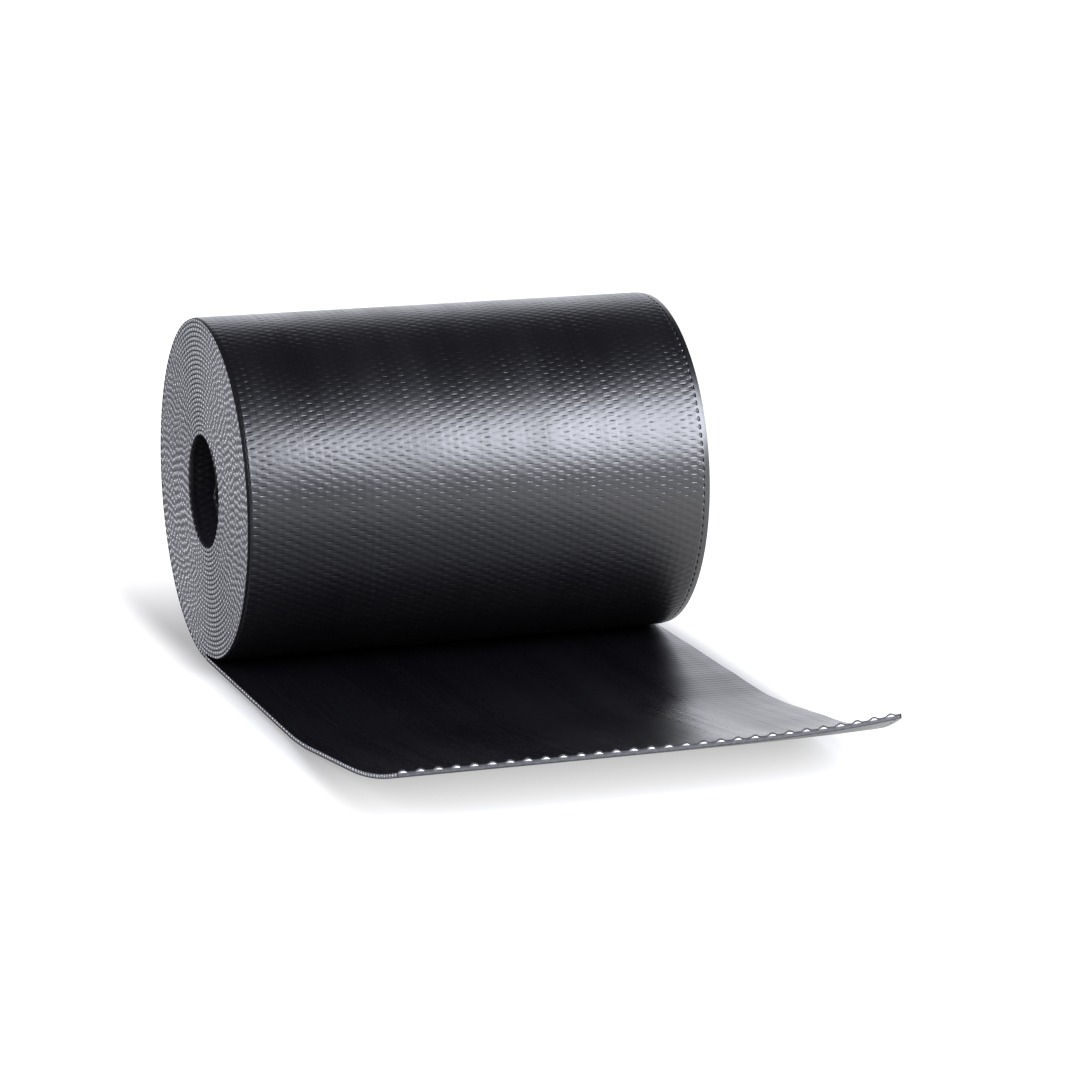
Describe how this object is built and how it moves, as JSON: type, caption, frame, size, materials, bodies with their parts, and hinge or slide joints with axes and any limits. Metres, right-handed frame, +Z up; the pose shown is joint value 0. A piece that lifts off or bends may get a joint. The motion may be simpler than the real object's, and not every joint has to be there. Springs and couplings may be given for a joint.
{
  "type": "roll of lead-free flashing",
  "caption": "Roll of mesh-cored polymer flashing sheet with an open bore; its loose end is laid out flat and curls up at the cut.",
  "frame": {"origin": "centre of the bore, halfway along the roll", "axes": "+X along the bore, +Y to the back, away from the loose end, +Z up; the roll rests on the plane z = -0.110 m"},
  "size_m": [0.3, 0.5217, 0.22],
  "materials": {
    "flashing_sheet": "satin black polymer film over expanded aluminium mesh"
  },
  "bodies": {
    "root": {"flashing_roll": "flashing_sheet"}
  },
  "joints": []
}
